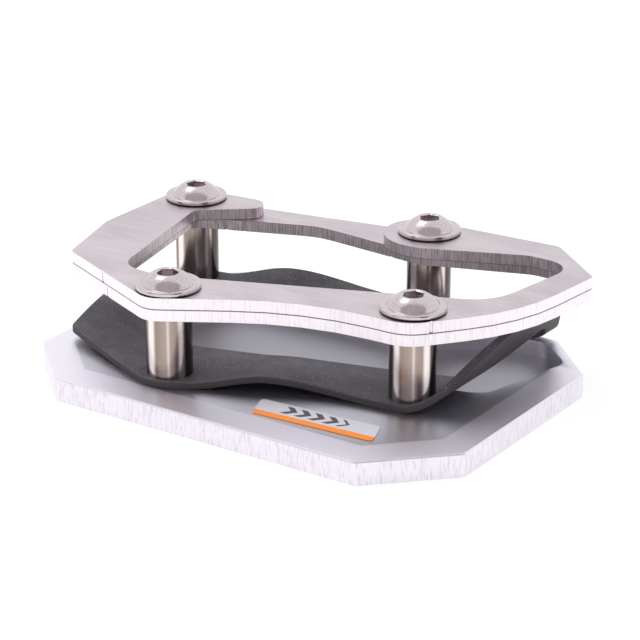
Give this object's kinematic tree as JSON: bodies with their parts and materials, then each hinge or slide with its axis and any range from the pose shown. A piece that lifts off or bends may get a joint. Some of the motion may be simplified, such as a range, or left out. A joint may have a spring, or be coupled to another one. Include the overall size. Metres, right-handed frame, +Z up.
{
  "type": "kickstand foot enlarger",
  "caption": "Bevelled base plate that widens a motorcycle side stand's foot, with a rubber pad and clamp plates held above it on spacers by button head screws.",
  "frame": {"origin": "middle of the base plate's outline, on its flat underside", "axes": "+X along the base plate's long edge, +Y towards its rear edge where the upper clamp plate is open, +Z up"},
  "size_m": [0.1054, 0.0782, 0.0288],
  "materials": {
    "base_aluminium": "ground and lightly brushed, satin rim",
    "pad_rubber": "matt sheet rubber, dusty",
    "plate_steel": "brushed faces, laser-cut edges",
    "spacer_steel": "fine turned, warm tint",
    "screw_steel": "polished stainless steel",
    "label_film": "printed film, silver grey with an orange band"
  },
  "bodies": {
    "root": {"base_plate": "base_aluminium", "rubber_pad": "pad_rubber", "lower_clamp_plate": "plate_steel", "upper_clamp_plate": "plate_steel", "label": "label_film", "spacer_front_left": "spacer_steel", "screw_front_left": "screw_steel", "spacer_front_right": "spacer_steel", "screw_front_right": "screw_steel", "spacer_rear_left": "spacer_steel", "screw_rear_left": "screw_steel", "spacer_rear_right": "spacer_steel", "screw_rear_right": "screw_steel"}
  },
  "joints": []
}
